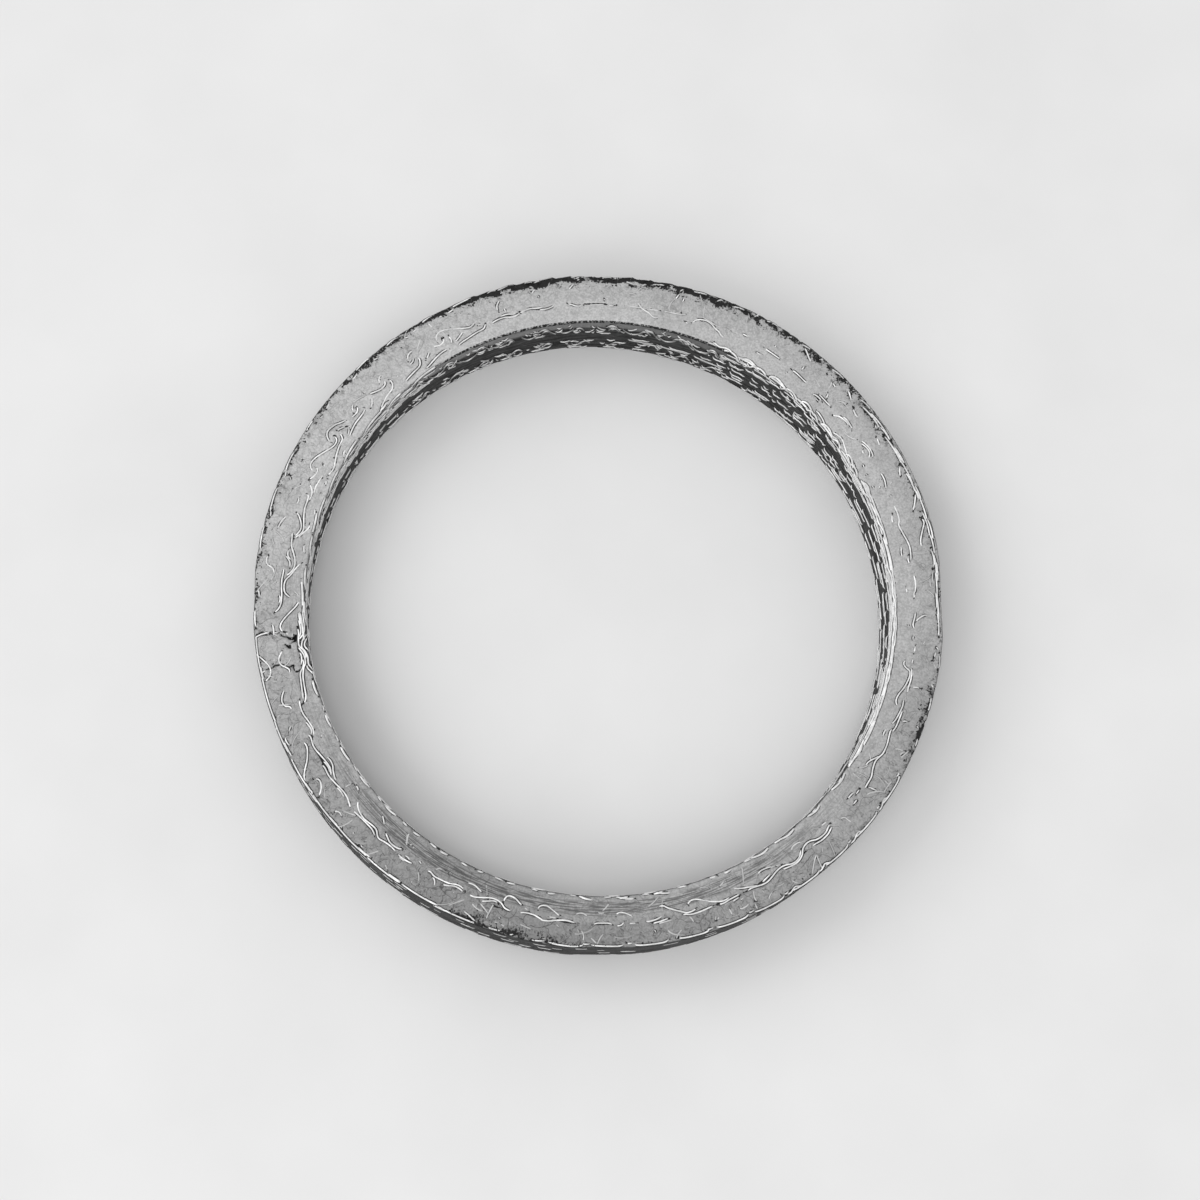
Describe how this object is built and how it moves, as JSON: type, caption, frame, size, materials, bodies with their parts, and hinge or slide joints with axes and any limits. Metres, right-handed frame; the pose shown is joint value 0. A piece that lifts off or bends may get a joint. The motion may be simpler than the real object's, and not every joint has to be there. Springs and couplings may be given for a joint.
{
  "type": "wound knitted-wire and graphite ring gasket",
  "caption": "Flat ring gasket wound from a strip of flexible graphite and knitted steel wire, pressed to a rectangular section, for a round pipe or port joint.",
  "frame": {"origin": "centre of the ring on its lower sealing face", "axes": "+Z along the ring's axis, out of its upper sealing face; the join of the winding is at 187 degrees round from +X"},
  "size_m": [0.0524, 0.0524, 0.006],
  "materials": {
    "graphite": "pressed flexible graphite, satin grey with a faint metallic sheen",
    "knit_wire": "bright drawn stainless wire, rubbed with graphite"
  },
  "bodies": {
    "root": {"graphite_ring": "graphite", "knitted_wire": "knit_wire"}
  },
  "joints": []
}
